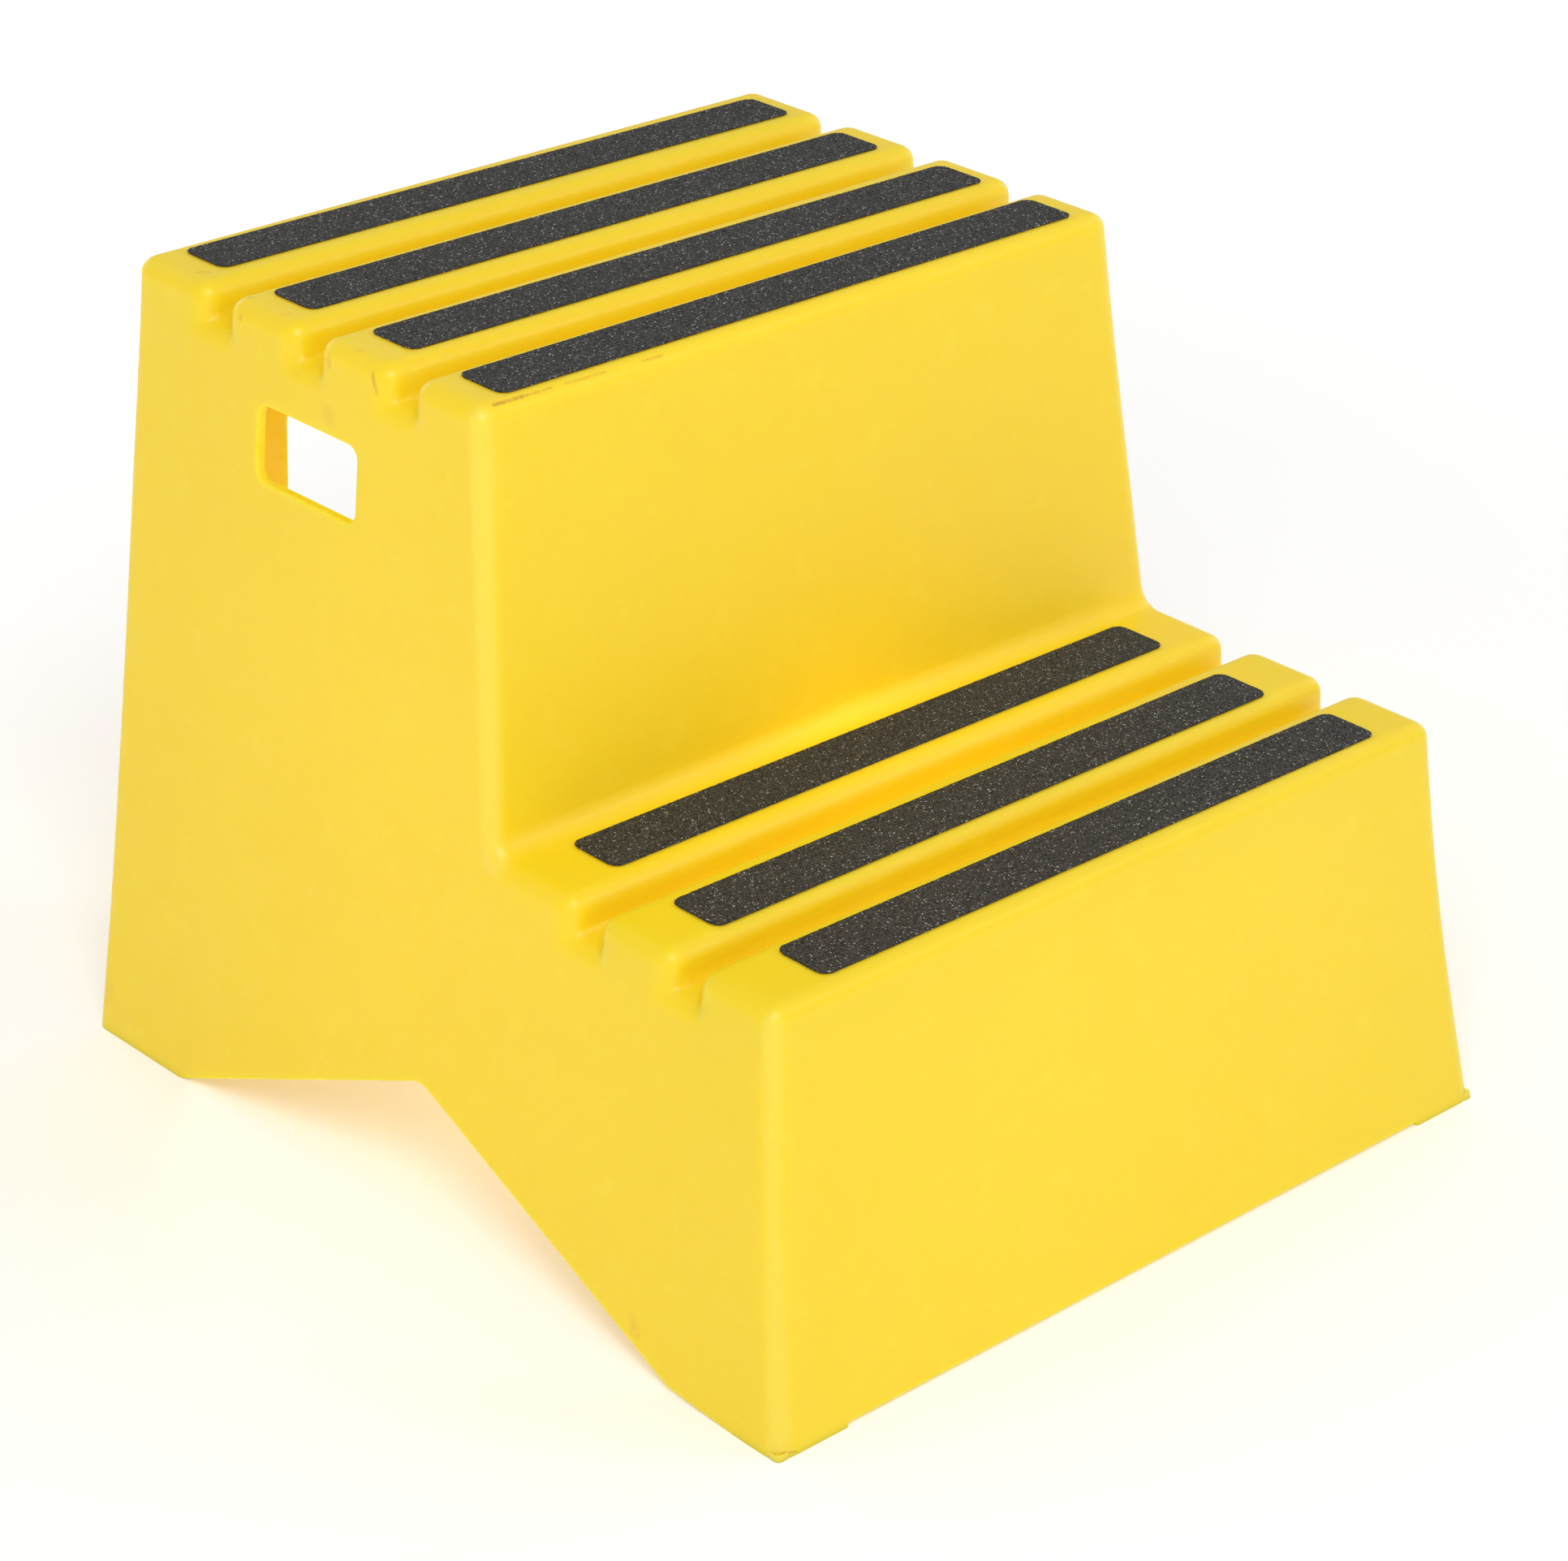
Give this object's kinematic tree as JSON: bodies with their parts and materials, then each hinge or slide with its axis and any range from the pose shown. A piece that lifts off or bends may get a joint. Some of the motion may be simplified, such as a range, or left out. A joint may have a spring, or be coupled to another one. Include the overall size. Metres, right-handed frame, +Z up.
{
  "type": "mounting block",
  "caption": "Hollow moulded plastic mounting block with an upper and a lower tread, ribbed across and faced with grit strips, with a hand hole in each side.",
  "frame": {"origin": "on the ground under the middle of the base", "axes": "+Z up, the low front step towards -Y, the tall rear towards +Y, +X to the right seen from the front"},
  "size_m": [0.572, 0.62, 0.4952],
  "materials": {
    "shell_plastic": "satin moulded polyethylene, yellow",
    "grit_strip": "coarse mineral grit bonded to black tape"
  },
  "bodies": {
    "root": {"moulded_shell": "shell_plastic", "upper_grit_strip_1": "grit_strip", "upper_grit_strip_2": "grit_strip", "upper_grit_strip_3": "grit_strip", "upper_grit_strip_4": "grit_strip", "lower_grit_strip_1": "grit_strip", "lower_grit_strip_2": "grit_strip", "lower_grit_strip_3": "grit_strip"}
  },
  "joints": []
}
